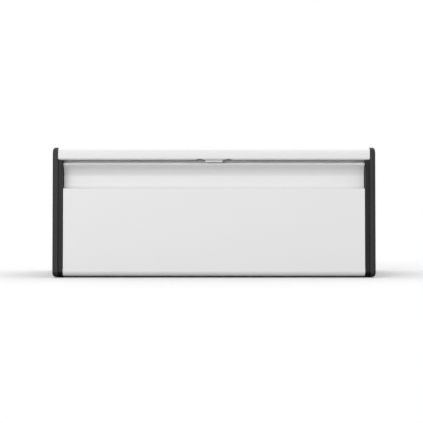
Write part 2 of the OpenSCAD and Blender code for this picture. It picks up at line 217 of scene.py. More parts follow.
def add_soft_sun(name, azimuth, elevation, disc, share):
    """A sun from this direction. A share of 1 lights a facing surface as a white room would."""
    light = bpy.data.lights.new(name, "SUN")
    light.angle = math.radians(disc)
    light.energy = share * math.pi
    sun = bpy.data.objects.new(name, light)
    bpy.context.scene.collection.objects.link(sun)
    across, up = math.radians(azimuth), math.radians(elevation)
    toward = Vector((-math.sin(across) * math.cos(up), math.cos(across) * math.cos(up),
                     -math.sin(up)))
    sun.rotation_euler = toward.to_track_quat("-Z", "Y").to_euler()


add_soft_sun("high_rear_light", azimuth=180, elevation=68, disc=75, share=0.50)
add_soft_sun("front_left_light", azimuth=-22, elevation=12, disc=50, share=0.56)

# %% [markdown]
# ## Materials, one real finish at a time
#
# Each material is named for what the real one is. Its colours are written as sRGB hex codes, the
# way a paint maker lists them. Patterns read Object coordinates, so they keep their real size on
# every piece: the scale of a noise is one over its grain in metres.
#
# ### White powder coat on steel
#
# Powder coat is melted onto the sheet, so it levels to a satin gloss with a faint orange peel, a
# ripple of a millimetre or two that is only microns high. The ripple goes into the bump and a
# slower cloudiness into the roughness, which breaks up reflections a little.

# %% White powder coat
def make_powder_coat(name, light, dark, roughness):
    """A coat between two close shades, with orange peel. The roughness runs from low to high."""
    material, tree, place = start_material(name)
    clouds = add_node(tree, "TexNoise", {"Vector": place, "Scale": 1 / (70 * MM), "Detail": 2.0})
    shade = add_node(tree, "Mix", {"Factor_Float": clouds.outputs["Fac"],
                                   "A_Color": srgb(dark), "B_Color": srgb(light)},
                     data_type="RGBA")
    peel = add_node(tree, "TexNoise", {"Vector": place, "Scale": 1 / (1.8 * MM), "Detail": 1.0})
    gloss = add_node(tree, "MapRange", {"Value": clouds.outputs["Fac"],
                                        "To Min": roughness[0], "To Max": roughness[1]})
    ripple = add_node(tree, "Bump", {"Height": peel.outputs["Fac"], "Distance": 0.012 * MM})
    end_material(tree, {"Base Color": output(shade, "Result_Color"), "IOR": 1.5,
                        "Roughness": gloss.outputs["Result"], "Normal": ripple.outputs["Normal"]})
    return material


white_coat = make_powder_coat("white_powder_coat_on_steel", "#D7D7D7", "#D6D6D6", (0.30, 0.36))
grey_coat = make_powder_coat("dark_grey_powder_coat_on_steel", "#565759", "#525355", (0.42, 0.50))
liner_coat = make_powder_coat("white_primer_coat_on_steel", "#DEDEDC", "#D9D9D7", (0.38, 0.46))

# %% [markdown]
# ### Moulded plastics
#
# The outer covers are polypropylene from a spark-eroded mould: its skin is a fine even grain, which
# spreads the highlight and lifts the dark grey. The inner frames come from a smoother mould, so
# they look blacker. The grain is about a third of a millimetre on the real part. It is drawn
# at half a millimetre, because anything finer wouldn't show when the whole box is in view.

# %% Moulded plastics
def make_moulded_plastic(name, light, dark, roughness, grain, height, shine=0.5):
    """A moulded plastic with an even grain of this size and height. Less shine is a duller skin."""
    material, tree, place = start_material(name)
    pits = add_node(tree, "TexNoise", {"Vector": place, "Scale": 1 / grain, "Detail": 3.0})
    flow = add_node(tree, "TexNoise", {"Vector": place, "Scale": 1 / (45 * MM), "Detail": 1.0})
    shade = add_node(tree, "Mix", {"Factor_Float": pits.outputs["Fac"],
                                   "A_Color": srgb(dark), "B_Color": srgb(light)},
                     data_type="RGBA")
    gloss = add_node(tree, "MapRange", {"Value": flow.outputs["Fac"],
                                        "To Min": roughness[0], "To Max": roughness[1]})
    grains = add_node(tree, "Bump", {"Height": pits.outputs["Fac"], "Distance": height})
    end_material(tree, {"Base Color": output(shade, "Result_Color"), "IOR": 1.49,
                        "Specular IOR Level": shine,
                        "Roughness": gloss.outputs["Result"], "Normal": grains.outputs["Normal"]})
    return material


cover_plastic = make_moulded_plastic("grained_dark_grey_polypropylene", "#242426", "#1E1E20",
                                     (0.50, 0.58), 0.5 * MM, 0.03 * MM, shine=0.34)
frame_plastic = make_moulded_plastic("smooth_black_polypropylene", "#0E0E0F", "#0B0B0C",
                                     (0.34, 0.40), 0.5 * MM, 0.01 * MM, shine=0.22)
holder_plastic = make_moulded_plastic("light_grey_acetal", "#C9C9C9", "#C2C2C2",
                                      (0.38, 0.44), 0.5 * MM, 0.01 * MM)
bush_plastic = make_moulded_plastic("natural_nylon", "#E6E1D3", "#DDD7C6",
                                    (0.40, 0.46), 0.5 * MM, 0.01 * MM)
rubber = make_moulded_plastic("black_moulded_rubber", "#1C1C1C", "#151515",
                              (0.72, 0.82), 0.6 * MM, 0.05 * MM)

# %% [markdown]
# ### Small metal parts
#
# Screws, rivets and pins are steel with a thin zinc plating: a bluish silver metal whose crystals
# give it a slight mottle. The catch's bar is sintered ferrite, a dull grey-black ceramic with a
# fine tooth from grinding.

# %% Zinc plating and ferrite
zinc, tree, place = start_material("zinc_plated_steel")
mottle = add_node(tree, "TexNoise", {"Vector": place, "Scale": 1 / (0.9 * MM), "Detail": 4.0})
shade = add_node(tree, "Mix", {"Factor_Float": mottle.outputs["Fac"],
                               "A_Color": srgb("#B4B8BE"), "B_Color": srgb("#D2D4D6")},
                 data_type="RGBA")
gloss = add_node(tree, "MapRange", {"Value": mottle.outputs["Fac"], "To Min": 0.24, "To Max": 0.38})
end_material(tree, {"Base Color": output(shade, "Result_Color"), "Metallic": 1.0,
                    "Roughness": gloss.outputs["Result"]})

ferrite, tree, place = start_material("ground_ferrite")
tooth = add_node(tree, "TexNoise", {"Vector": place, "Scale": 1 / (0.4 * MM), "Detail": 5.0})
shade = add_node(tree, "Mix", {"Factor_Float": tooth.outputs["Fac"],
                               "A_Color": srgb("#2B2B2D"), "B_Color": srgb("#474749")},
                 data_type="RGBA")
grind = add_node(tree, "Bump", {"Height": tooth.outputs["Fac"], "Distance": 0.02 * MM})
end_material(tree, {"Base Color": output(shade, "Result_Color"), "Roughness": 0.62,
                    "Normal": grind.outputs["Normal"]})

# %% [markdown]
# ### The floor's matte paint
#
# The floor is there to be white and to hold a soft shadow. A floor that is truly white also
# throws as much light up as the room throws down, which would flatten the box. So the paint is
# pale where the camera sees it and a mid grey as a reflector, as if a grey card lay just
# outside the view.

# %% The floor's matte paint
floor_paint, tree, place = start_material("matte_white_floor_paint")
mottle = add_node(tree, "TexNoise", {"Vector": place, "Scale": 1 / (300 * MM), "Detail": 2.0})
shade = add_node(tree, "Mix", {"Factor_Float": mottle.outputs["Fac"],
                               "A_Color": srgb("#E3E3E3"), "B_Color": srgb("#E5E5E5")},
                 data_type="RGBA")
seen = add_node(tree, "LightPath").outputs["Is Camera Ray"]
card = add_node(tree, "Mix", {"Factor_Float": seen, "A_Color": srgb("#969696"),
                              "B_Color": output(shade, "Result_Color")}, data_type="RGBA")
end_material(tree, {"Base Color": output(card, "Result_Color"), "Roughness": 0.9,
                    "Specular IOR Level": 0.0})
floor.data.materials.append(floor_paint)

# %% [markdown]
# ## Helpers for modelling by hand in code
#
# The steps are those of modelling by hand: add a primitive, enter edit mode, select what to
# work on, and run an operator. An operator acts on all that is selected, so each step starts with
# nothing selected, and edges and faces are then picked by where they are.

# %% Select and edit
def work_on(piece):
    """Makes the piece the only selected object, with nothing selected in its mesh."""
    if bpy.context.object and bpy.context.object.mode != "OBJECT":
        bpy.ops.object.mode_set(mode="OBJECT")
    bpy.ops.object.select_all(action="DESELECT")
    bpy.context.view_layer.objects.active = piece
    piece.select_set(True)
    bpy.ops.object.mode_set(mode="EDIT")
    bpy.ops.mesh.select_all(action="DESELECT")


def leave_edit():
    bpy.ops.object.mode_set(mode="OBJECT")


def pick(piece, kind, test):
    """Selects the edges or faces of the mesh in edit mode that pass the test."""
    bpy.ops.mesh.select_all(action="DESELECT")
    bpy.ops.mesh.select_mode(type=kind)
    mesh = bmesh.from_edit_mesh(piece.data)
    parts = mesh.edges if kind == "EDGE" else mesh.faces
    for part in parts:
        part.select_set(test(part))
    mesh.select_flush_mode()
    bmesh.update_edit_mesh(piece.data)
    return sum(part.select for part in parts)


def near(value, target):
    return abs(value - target) < 0.02 * MM


def modify(piece, kind, **settings):
    """Adds a modifier, sets it and applies it."""
    bpy.ops.object.select_all(action="DESELECT")
    bpy.context.view_layer.objects.active = piece
    piece.select_set(True)
    modifier = piece.modifiers.new(kind.lower(), kind)
    for name, value in settings.items():
        setattr(modifier, name, value)
    bpy.ops.object.modifier_apply(modifier=modifier.name)


def smooth(piece, angle=35):
    """Shades smooth below the angle. Weighing the normals by area keeps flat faces flat."""
    work_on(piece)
    bpy.ops.mesh.customdata_custom_splitnormals_clear()
    leave_edit()
    bpy.ops.object.shade_smooth_by_angle(angle=math.radians(angle))
    modify(piece, "WEIGHTED_NORMAL", keep_sharp=True)


def soften(piece, width, segments=2, angle=35):
    """Breaks the sharp edges with a small round, then shades the piece smooth between them."""
    modify(piece, "BEVEL", width=width, segments=segments, limit_method="ANGLE",
           angle_limit=math.radians(angle), use_clamp_overlap=True)
    smooth(piece, angle)


def add_block(name, low, high):
    """A cube between two corners, with its place in its mesh."""
    bpy.ops.object.select_all(action="DESELECT")
    low, high = Vector(low), Vector(high)
    bpy.ops.mesh.primitive_cube_add(size=1, location=(low + high) / 2)
    block = bpy.context.object
    block.name = name
    block.scale = high - low
    bpy.ops.object.transform_apply(location=True, rotation=True, scale=True)
    return block


def add_rod(name, start, direction, radius, length, sides=48):
    """A cylinder that starts at a point and runs along X, Y or Z."""
    bpy.ops.object.select_all(action="DESELECT")
    axis = Vector(direction)
    turn = axis.to_track_quat("Z", "Y").to_euler()
    bpy.ops.mesh.primitive_cylinder_add(vertices=sides, radius=radius, depth=length, rotation=turn,
                                        location=Vector(start) + axis * length / 2)
    rod = bpy.context.object
    rod.name = name
    bpy.ops.object.transform_apply(location=True, rotation=True, scale=True)
    return rod


def join(pieces, name):
    """Makes several objects one."""
    bpy.ops.object.select_all(action="DESELECT")
    for piece in pieces:
        piece.select_set(True)
    bpy.context.view_layer.objects.active = pieces[0]
    if len(pieces) > 1:
        bpy.ops.object.join()
    pieces[0].name = name
    return pieces[0]


def carve(piece, tool, operation="DIFFERENCE"):
    """Cuts the tool from the piece, or adds it with UNION, and removes the tool."""
    modify(piece, "BOOLEAN", object=tool, operation=operation, solver="EXACT")
    bpy.data.objects.remove(tool)


def placed_copy(piece, name, location=(0, 0, 0), rotation=(0, 0, 0), scale=(1, 1, 1)):
    """A copy with its own mesh, moved to a place that is then applied to the mesh."""
    bpy.ops.object.select_all(action="DESELECT")
    copy = piece.copy()
    copy.data = piece.data.copy()
    copy.name = name
    bpy.context.scene.collection.objects.link(copy)
    copy.location, copy.rotation_euler, copy.scale = location, rotation, scale
    bpy.context.view_layer.objects.active = copy
    copy.select_set(True)
    bpy.ops.object.transform_apply(location=True, rotation=True, scale=True)
    return copy


def face_outwards(piece):
    """Turns every face of a closed piece to the outside."""
    work_on(piece)
    bpy.ops.mesh.select_all(action="SELECT")
    bpy.ops.mesh.normals_make_consistent(inside=False)
    leave_edit()


def mirrored(piece, name):
    """A copy on the other side of the middle plane, facing outwards again."""
    copy = placed_copy(piece, name, scale=(-1, 1, 1))
    face_outwards(copy)
    smooth(copy)
    return copy


def dress(piece, material, body, node):
    """Gives the piece its finish and its body, and hides the CAD node that it stands for."""
    piece.data.materials.clear()
    piece.data.materials.append(material)
    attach(piece, body)
    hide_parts(node)
    print(piece.name, "faces:", len(piece.data.polygons))


# %% [markdown]
# ## Folded sheet
#
# A press brake folds a flat sheet along straight lines. The model is made the same way: a
# narrow plane is the first flange, its free edge is extruded to each next fold in turn, and then
# each fold is bevelled to its bend radius. Solidify gives the sheet its thickness last, towards the
# inside, so that the outer face keeps the true outline. Extruding a finished profile sideways would
# work too, but folding keeps each bend's radius a number that can be changed.

# %% Fold a sheet
def unit(vector):
    return vector.normalized()


def fold_sheet(name, half_width, folds):
    """Folds a sheet without thickness along places given as (y, z, bend radius)."""
    bpy.ops.object.select_all(action="DESELECT")
    first = Vector((0, folds[0][0], folds[0][1]))
    bpy.ops.mesh.primitive_plane_add(size=1, location=first)
    sheet = bpy.context.object
    sheet.name = name
    sheet.scale = (2 * half_width, 2 * MM, 1)
    bpy.ops.object.transform_apply(location=True, rotation=True, scale=True)
    work_on(sheet)
    places = [Vector((0, y, z)) for y, z, radius in folds]
    pick(sheet, "EDGE", lambda e: all(v.co.y < first.y for v in e.verts))
    bpy.ops.transform.translate(value=(0, MM, 0))
    pick(sheet, "EDGE", lambda e: all(v.co.y > first.y + 0.5 * MM for v in e.verts))
    bpy.ops.transform.translate(value=places[1] - first - Vector((0, MM, 0)))
    for here, there in zip(places[1:], places[2:]):
        bpy.ops.mesh.extrude_edges_move(TRANSFORM_OT_translate={"value": there - here})
    for before, place, after, fold in zip(places, places[1:], places[2:], folds[1:]):
        turn = unit(place - before).angle(unit(after - place))
        across = Vector((0, place.y, place.z))
        pick(sheet, "EDGE", lambda e: all(
            (Vector((0, v.co.y, v.co.z)) - across).length < 0.01 * MM for v in e.verts))
        bpy.ops.mesh.bevel(offset=fold[2] * math.tan(turn / 2), segments=max(3, round(turn * 8)),
                           affect="EDGES", clamp_overlap=False)
    leave_edit()
    return sheet


def thicken(sheet, outward):
    """Gives a folded sheet its thickness, away from the side that its widest face looks to."""
    work_on(sheet)
    bpy.ops.mesh.select_all(action="SELECT")
    bpy.ops.mesh.normals_make_consistent(inside=False)
    widest = max(bmesh.from_edit_mesh(sheet.data).faces, key=lambda f: f.calc_area())
    if widest.normal.dot(Vector(outward)) < 0:
        bpy.ops.mesh.flip_normals()
    leave_edit()
    modify(sheet, "SOLIDIFY", thickness=SHEET, offset=-1, use_even_offset=True)


# %% [markdown]
# ## The side panels' outline
#
# Seen from the side, the box is a rectangle with a leaning front and four rounded corners. Shell,
# frame and cover share that outline, each a little further in than the last. A block of
# the outline starts as a cube. Its top front edge is pushed back by the lean, and its four
# long edges are bevelled to their own radii.

# %% Outline and block of the side
def outline_corners(inset):
    """The outline's corners as [y, z, radius], from the front bottom over the top to the rear."""
    bottom, top = cover_low.z + inset, cover_high.z - inset
    rear = cover_high.y - inset

    def front(z):
        return HINGE.y - (RIM_RADIUS - inset) / math.cos(LEAN) + (z - HINGE.z) * math.tan(LEAN)

    return [[front(bottom), bottom, RIM_RADIUS - inset], [front(top), top, 10 * MM - inset],
            [rear, top, 22 * MM - inset], [rear, bottom, 6 * MM - inset]]


def add_side_block(name, x_low, x_high, inset):
    """A block of the side's outline between two places along X."""
    corners = outline_corners(inset)
    front_bottom, front_top, rear_top, rear_bottom = corners
    block = add_block(name, (x_low, front_bottom[0], front_bottom[1]),
                      (x_high, rear_top[0], rear_top[1]))
    work_on(block)
    pick(block, "EDGE", lambda e: all(
        v.co.y < 0 and abs(v.co.z - front_top[1]) < 0.01 * MM for v in e.verts))
    bpy.ops.transform.translate(value=(0, front_top[0] - front_bottom[0], 0))
    for (y, z, radius), lean in zip(corners, (LEAN, -LEAN, 0, 0)):
        pick(block, "EDGE", lambda e: all(
            abs(v.co.y - y) < 0.01 * MM and abs(v.co.z - z) < 0.01 * MM for v in e.verts))
        bpy.ops.mesh.bevel(offset=radius * math.tan(math.pi / 4 + lean / 2),
                           segments=max(8, round(radius / MM)), affect="EDGES",
                           clamp_overlap=False)
    leave_edit()
    return block

# %% [markdown]
# ## The door's place
#
# The door's section is easiest to draw upright about its hinge axis. One function leans a point
# back to its place in the box, and another does the same for a whole piece.

# %% From the upright drawing to the closed door
KNUCKLE = 7 * MM
CHANNEL_BACK = 6 * MM
LINER_FRONT = 7.35 * MM
LINER_BACK = LINER_FRONT + SHEET
DOOR_BACK = 9 * MM
DOOR_TOP = (LIP_Z - 4.5 * MM - HINGE.z) / math.cos(LEAN)
ROOF_FOOT = DOOR_TOP - 12 * MM
LEDGE = ROOF_FOOT - 24.5 * MM
TIGHT_BEND = 1.6 * MM
ROOF_BEND = 16 * MM


def on_door(y, z):
    """The place in the box of a point drawn upright about the hinge axis."""
    return (HINGE.y + y * math.cos(LEAN) + z * math.sin(LEAN),
            HINGE.z - y * math.sin(LEAN) + z * math.cos(LEAN))


def lean_back(piece):
    """Moves a piece drawn upright about the origin to its place on the closed door."""
    bpy.ops.object.select_all(action="DESELECT")
    piece.location, piece.rotation_euler = HINGE, (-LEAN, 0, 0)
    bpy.context.view_layer.objects.active = piece
    piece.select_set(True)
    bpy.ops.object.transform_apply(location=True, rotation=True, scale=True)
    return piece


print("door's top rear edge in mm:", [round(v / MM, 2) for v in on_door(DOOR_BACK, DOOR_TOP)])

# %% [markdown]
# ## The shell: top, lip and back in one sheet
#
# One sheet makes the lip, the top, the back and a flange under the tray. It starts at the lower
# edge of a small flange that hangs behind the door's top edge and keeps crumbs and light out of
# the gap. From there it runs forward, up round the nose, over the top and down the back.
# The holes and notches are punched afterwards with Boolean cutters, as a punch would.

# %% Fold the shell
FACE_INSET = 0.5 * MM
LIP_BEND = 3 * MM
LIP_FLANGE = 6 * MM
FLANGE_GAP = 0.6 * MM
REAR_FLANGE = 20 * MM
front_bottom, front_top, rear_top, rear_bottom = outline_corners(FACE_INSET)
LIP_Y = (HINGE.y - (RIM_RADIUS - FACE_INSET) / math.cos(LEAN)
         + (LIP_Z - HINGE.z) * math.tan(LEAN))
FLANGE_Y = on_door(DOOR_BACK, DOOR_TOP)[0] + FLANGE_GAP
shell = fold_sheet("folded_shell", SHELL_X, [
    (FLANGE_Y, LIP_Z - LIP_FLANGE, 0), (FLANGE_Y, LIP_Z, TIGHT_BEND - SHEET),
    (LIP_Y, LIP_Z, LIP_BEND), front_top, rear_top, rear_bottom,
    (rear_bottom[0] - REAR_FLANGE, rear_bottom[1], 0)])
thicken(shell, outward=(0, 0, 1))
print("shell size in mm:", [round(v / MM, 1) for v in shell.dimensions])

# %% [markdown]
# The lip's return carries the catch, so it has a slot in the middle, and a shallow notch
# on each side of the catch's nose gives a fingertip room. A notch rises gently from the middle
# and drops steeply. Its cutter is a small block whose top corners are moved into place.

# %% Punch the lip
NOSE_HALF = 12.2 * MM
SLOT_HALF = 27.2 * MM
HOLDER_Y = LIP_Y + 3.5 * MM
HOLDER_DEPTH = 8.5 * MM
carve(shell, add_block("slot_cutter", (-SLOT_HALF, LIP_Y + LIP_BEND, LIP_Z - MM),
                       (SLOT_HALF, HOLDER_Y + HOLDER_DEPTH + 0.5 * MM, LIP_Z + 1.8 * MM)))


def add_notch_cutter(side):
    """A wedge that is tall near its outer end. Side is 1 on the right and -1 on the left."""
    inner, outer = sorted((side * NOSE_HALF, side * SLOT_HALF))
    notch = add_block("notch_cutter", (inner, LIP_Y - MM, LIP_Z - MM),
                      (outer, LIP_Y + LIP_BEND + MM, LIP_Z))
    work_on(notch)
    bpy.ops.mesh.select_all(action="SELECT")
    bpy.ops.mesh.bisect(plane_co=(side * 21.5 * MM, 0, 0), plane_no=(1, 0, 0))
    pick(notch, "EDGE", lambda e: all(
        v.co.z > LIP_Z - 0.1 * MM and abs(v.co.x - side * 21.5 * MM) < 0.01 * MM
        for v in e.verts))
    bpy.ops.transform.translate(value=(0, 0, 1.9 * MM))
    bpy.ops.mesh.bevel(offset=2.5 * MM, segments=4, affect="EDGES", clamp_overlap=False)
    leave_edit()
    return notch


for side in (-1, 1):
    carve(shell, add_notch_cutter(side))
    ends = sorted((side * (FRAME_X - 0.2 * MM), side * (SHELL_X + MM)))
    carve(shell, add_block("return_cutter", (ends[0], LIP_Y + LIP_BEND, LIP_Z - 7 * MM),
                           (ends[1], FLANGE_Y + 2 * MM, LIP_Z + 1.8 * MM)))
print("notches at x of", NOSE_HALF / MM, "to", SLOT_HALF / MM, "mm")

# %% [markdown]
# The lip's lower corners are rounded where they meet the side covers. The cutter is a block with
# one edge bevelled hollow: a cylinder is taken out of it first, and what is left is the
# sliver outside the round.

# %% Round the lip's corners
CORNER = 3 * MM
for side in (-1, 1):
    inside = side * (SHELL_X - CORNER)
    ends = sorted((inside, side * (SHELL_X + MM)))
    corner = add_block("corner_cutter", (ends[0], LIP_Y - MM, LIP_Z - MM),
                       (ends[1], LIP_Y + LIP_BEND + 2 * MM, LIP_Z + CORNER))
    carve(corner, add_rod("corner_round", (inside, LIP_Y - 2 * MM, LIP_Z + CORNER), (0, 1, 0),
                          CORNER, 10 * MM))
    carve(shell, corner)
print("shell faces after punching:", len(shell.data.polygons))

# %% [markdown]
# Bread needs a little air, so the back has three staggered rows of vent holes high up. One pin
# is added and copied to every place, the pins are joined, and one cut makes all the holes.

# %% Punch the vents
VENT_PITCH = 12 * MM
VENT_HEIGHT_SHARE = 0.74
vent_z = cover_high.z * VENT_HEIGHT_SHARE
pins = []
for row, count in ((-1, 14), (0, 15), (1, 14)):
    for i in range(count):
        x = (i - (count - 1) / 2) * VENT_PITCH
        pins.append(add_rod("vent_pin", (x, cover_high.y - 5 * MM, vent_z + row * 10 * MM),
                            (0, 1, 0), 2 * MM, 6 * MM, sides=20))
carve(shell, join(pins, "vent_pins"))
soften(shell, 0.2 * MM)
dress(shell, white_coat, "cabinet", "top_back_shell")

# %% [markdown]
# ## The door's skin
#
# The door is folded from one sheet too. Its section is drawn upright about the hinge axis and
# then leant back. From the toe behind the hinge it runs round the knuckle, up the face, in
# along the channel's ledge, up the channel's hollow back, forward again along its slanting
# roof, and over the top to a hem that holds the liner.

# %% Fold the door
door_section = [(7.2 * MM, 2 * MM, 0), (7.2 * MM, -KNUCKLE, LIP_BEND),
                (-KNUCKLE, -KNUCKLE, KNUCKLE), (-KNUCKLE, LEDGE, TIGHT_BEND),
                (CHANNEL_BACK, LEDGE, 6 * MM), (CHANNEL_BACK, ROOF_FOOT, ROOF_BEND),
                (-KNUCKLE + 0.8 * MM, DOOR_TOP, TIGHT_BEND), (DOOR_BACK, DOOR_TOP, TIGHT_BEND),
                (DOOR_BACK, DOOR_TOP - 8 * MM, 0)]
door = fold_sheet("folded_door", DOOR_X, [(*on_door(y, z), radius)
                                          for y, z, radius in door_section])
thicken(door, outward=(0, -1, 0))
soften(door, 0.2 * MM)
dress(door, white_coat, "door", "door_panel")

# %% [markdown]
# ## Side covers
#
# Each cover is an open tray of plastic, moulded with a rounded outer edge and a lip that reaches
# over the end of the shell. The right one is modelled and the left one is its mirror image.
# The outer face's border is bevelled in many steps for a true fillet, and the inner face is
# inset and pushed out again to hollow the tray.

# %% Model the right cover
COVER_WALL = 2.5 * MM
cover = add_side_block("right_cover_shell", RIM_X, OUTER_X, 0)
work_on(cover)
pick(cover, "FACE", lambda f: f.normal.x > 0.99)
bpy.ops.mesh.region_to_loop()
bpy.ops.mesh.bevel(offset=4 * MM, segments=8, affect="EDGES", clamp_overlap=False)
pick(cover, "FACE", lambda f: f.normal.x < -0.99)
bpy.ops.mesh.inset(thickness=COVER_WALL, use_even_offset=True)
bpy.ops.mesh.extrude_region_move(
    TRANSFORM_OT_translate={"value": (OUTER_X - COVER_WALL - RIM_X, 0, 0)})
leave_edit()

# %% [markdown]
# The feet are set into the cover's lower rim, so it has an opening for each. The rounded outer
# edge and the small bevel that is left by `soften` catch the light along the whole side.

# %% Leave room for the feet
foot_boxes = [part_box("front_right_foot"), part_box("rear_right_foot")]
FOOT_ROOM = 0.2 * MM
for low, high in foot_boxes:
    room = Vector((FOOT_ROOM, FOOT_ROOM, FOOT_ROOM))
    top = Vector((high.x, high.y, cover_low.z + 1.35 * MM))
    carve(cover, add_block("foot_room", low - room, top + room))
soften(cover, 0.35 * MM, segments=3)
dress(cover, cover_plastic, "cabinet", "right_side_cover")
dress(mirrored(cover, "left_cover_shell"), cover_plastic, "cabinet", "left_side_cover")

# %% [markdown]
# ## Side frames
#
# Behind each cover sits an inner frame, which carries the hinge bush, the screws and the door's
# stop. Its strip shows beside the door, and a tongue runs on into the cover, so that
# a dark groove parts the two plastics. Both come from one block: the outer face is inset and pushed
# out for the tongue, then inset again and pushed back in for the hollow.

# %% Model the right frame
FRAME_INSET = 1.35 * MM
FRAME_WALL = 2.5 * MM
TONGUE_INSET = 3 * MM
TONGUE_WALL = 1.5 * MM
BOSS_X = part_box("right_side_frame")[1].x
side_frame = add_side_block("right_frame_moulding", FRAME_X, STRIP_X, FRAME_INSET)
work_on(side_frame)
pick(side_frame, "FACE", lambda f: f.normal.x > 0.99)
bpy.ops.mesh.inset(thickness=TONGUE_INSET - FRAME_INSET, use_even_offset=True)
bpy.ops.mesh.extrude_region_move(TRANSFORM_OT_translate={"value": (BOSS_X - STRIP_X, 0, 0)})
bpy.ops.mesh.inset(thickness=TONGUE_WALL, use_even_offset=True)
bpy.ops.mesh.extrude_region_move(
    TRANSFORM_OT_translate={"value": (FRAME_X + FRAME_WALL - BOSS_X, 0, 0)})
leave_edit()
print("frame hollow in mm:", round((BOSS_X - FRAME_X - FRAME_WALL) / MM, 1))

# %% [markdown]
# Bosses stand inside the hollow where the hinge and the screws go. Rods are united with the
# frame for the bosses, and others are cut out for the bores and for the recesses that hide the
# screws' heads. The lug that stops the door is a block on the inner face, leant back like
# the door, and its front edge carries a rubber buffer.

# %% Bosses, bores and the door's stop
HEAD_RADIUS = 3 * MM
HEAD_HEIGHT = 1.8 * MM
BUSH_RADIUS = 3.3 * MM
HINGE_BOSS = 4.9 * MM
STOP_Z = DOOR_TOP - 26 * MM
STOP_FRONT = LINER_BACK + 0.3 * MM
BUFFER_STAND = 2 * MM
RIGHT = (1, 0, 0)


def screw_places(node):
    """The corners of the rectangle on which a group of screws lies, as (y, z)."""
    low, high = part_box(node)
    return [(y, z) for y in (low.y + HEAD_RADIUS, high.y - HEAD_RADIUS)
            for z in (low.z + HEAD_RADIUS, high.z - HEAD_RADIUS)]


cover_screw_places = screw_places("right_cover_screws")
base_low, base_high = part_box("base_screws")
BASE_SCREW_Z = (base_low.z + base_high.z) / 2
base_screw_ys = [base_low.y + HEAD_RADIUS, (base_low.y + base_high.y) / 2,
                 base_high.y - HEAD_RADIUS]
bosses = [(HINGE.y, HINGE.z, HINGE_BOSS, BOSS_X - FRAME_X)]
bosses += [(y, z, 4.5 * MM, 7.1 * MM) for y, z in cover_screw_places]
bosses += [(y, BASE_SCREW_Z, 3.5 * MM, STRIP_X - FRAME_X) for y in base_screw_ys]
for y, z, radius, length in bosses:
    rod = add_rod("boss", (FRAME_X + MM, y, z), RIGHT, radius, length - MM)
    carve(side_frame, rod, operation="UNION")
stop = add_block("stop", (FRAME_X - 9 * MM, STOP_FRONT + BUFFER_STAND, STOP_Z - 4.6 * MM),
                 (FRAME_X + MM, STOP_FRONT + BUFFER_STAND + 8 * MM, STOP_Z + 4.6 * MM))
carve(side_frame, lean_back(stop), operation="UNION")
carve(side_frame, add_rod("bore", (FRAME_X - MM, HINGE.y, HINGE.z), RIGHT, BUSH_RADIUS, 12 * MM))
for y, z in cover_screw_places:
    carve(side_frame, add_rod("recess", (FRAME_X - MM, y, z), RIGHT, 3.4 * MM, 3.2 * MM))
carve(side_frame, add_block("lip_room", (FRAME_X - MM, LIP_Y - MM, LIP_Z - 0.2 * MM),
                            (BOSS_X, LIP_Y + LIP_BEND, LIP_Z + LIP_BEND)))
soften(side_frame, 0.25 * MM)
dress(side_frame, frame_plastic, "cabinet", "right_side_frame")
dress(mirrored(side_frame, "left_frame_moulding"), frame_plastic, "cabinet", "left_side_frame")

# %% [markdown]
# ## Base tray
#
# The floor of the box is a folded steel tray with a flange on every side. It is folded along
# its depth like the shell. Its sides are then cut to length with two bisecting planes and turned
# up, which a press brake would do as its last two strokes.

# %% Fold the tray
tray_low, tray_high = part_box("base_tray")
TRAY_FLANGE = 15 * MM
side_start, side_end = tray_low.y + 10 * MM, tray_high.y - 10.5 * MM
tray = fold_sheet("folded_tray", tray_high.x, [
    (tray_low.y + 8 * MM, tray_low.z + 12 * MM, 0),
    (tray_low.y, tray_low.z + 12 * MM, TIGHT_BEND), (tray_low.y, tray_low.z, TIGHT_BEND),
    (tray_high.y, tray_low.z, 6 * MM), (tray_high.y, tray_low.z + TRAY_FLANGE, 0)])
work_on(tray)
for y in (side_start, side_end):
    bpy.ops.mesh.select_all(action="SELECT")
    bpy.ops.mesh.bisect(plane_co=(0, y, 0), plane_no=(0, 1, 0))
pick(tray, "EDGE", lambda e: near(e.verts[0].co.x, e.verts[1].co.x) and all(
    near(abs(v.co.x), tray_high.x) and near(v.co.z, tray_low.z)
    and side_start - 0.02 * MM < v.co.y < side_end + 0.02 * MM for v in e.verts))
bpy.ops.mesh.extrude_edges_move(TRANSFORM_OT_translate={"value": (0, 0, TRAY_FLANGE)})
leave_edit()
thicken(tray, outward=(0, 0, -1))
soften(tray, 0.2 * MM)
dress(tray, grey_coat, "cabinet", "base_tray")

# %% [markdown]
# ## The catch
#
# A light grey holder clips into the lip's slot and carries a bar magnet, which holds the door's
# steel top edge from above. The holder starts as a beam. Four bisecting planes divide it, and
# then the ends are pulled down to sit on the lip, and the middle is pulled down and narrowed
# to a nose with a pocket for the magnet.

# %% Model the magnet holder
holder_low, holder_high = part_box("magnet_holder")
NOSE_ROOT = NOSE_HALF + MM
BRIDGE_Z = LIP_Z + 2.6 * MM
SEAT_Z = LIP_Z + SHEET + 0.05 * MM
MAGNET_HEIGHT = 3.6 * MM
holder = add_block("catch_holder", (holder_low.x, holder_low.y, BRIDGE_Z), holder_high)
work_on(holder)
for x in (-SLOT_HALF, -NOSE_ROOT, NOSE_ROOT, SLOT_HALF):
    bpy.ops.mesh.select_all(action="SELECT")
    bpy.ops.mesh.bisect(plane_co=(x, 0, 0), plane_no=RIGHT)
pick(holder, "FACE", lambda f: f.normal.z < -0.9 and abs(f.calc_center_median().x) > SLOT_HALF)
bpy.ops.mesh.extrude_region_move(TRANSFORM_OT_translate={"value": (0, 0, SEAT_Z - BRIDGE_Z)})
pick(holder, "FACE", lambda f: f.normal.z < -0.9 and abs(f.calc_center_median().x) < NOSE_HALF)
